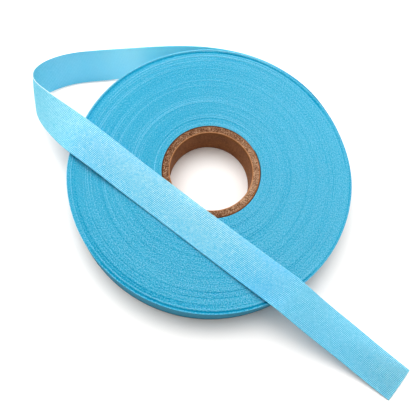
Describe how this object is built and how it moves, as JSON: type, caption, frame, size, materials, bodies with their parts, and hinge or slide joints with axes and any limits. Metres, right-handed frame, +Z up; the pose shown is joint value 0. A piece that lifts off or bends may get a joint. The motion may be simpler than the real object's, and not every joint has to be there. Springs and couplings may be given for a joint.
{
  "type": "roll of woven tape",
  "caption": "Roll of light blue woven tape on a paperboard core, lying flat, its loose end looped out from the rim, laid across the upper face and drooping to the table",
  "frame": {"origin": "middle of the whole object's footprint, on the surface that the roll lies on", "axes": "+Z up along the roll's axis, +X along the length of the loose end's footprint, towards its cut end, +Y across, away from the front"},
  "size_m": [0.2634, 0.1946, 0.0336],
  "materials": {
    "paperboard": "dull brown paperboard, fibrous at its cut ends",
    "wound_edges": "selvedges of the wound turns, matt, mottled, in fine concentric lines",
    "woven_face": "fine plain weave with a bright woven edge"
  },
  "bodies": {
    "root": {"core": "paperboard", "wound_tape": "wound_edges", "loose_end": "woven_face"}
  },
  "joints": []
}
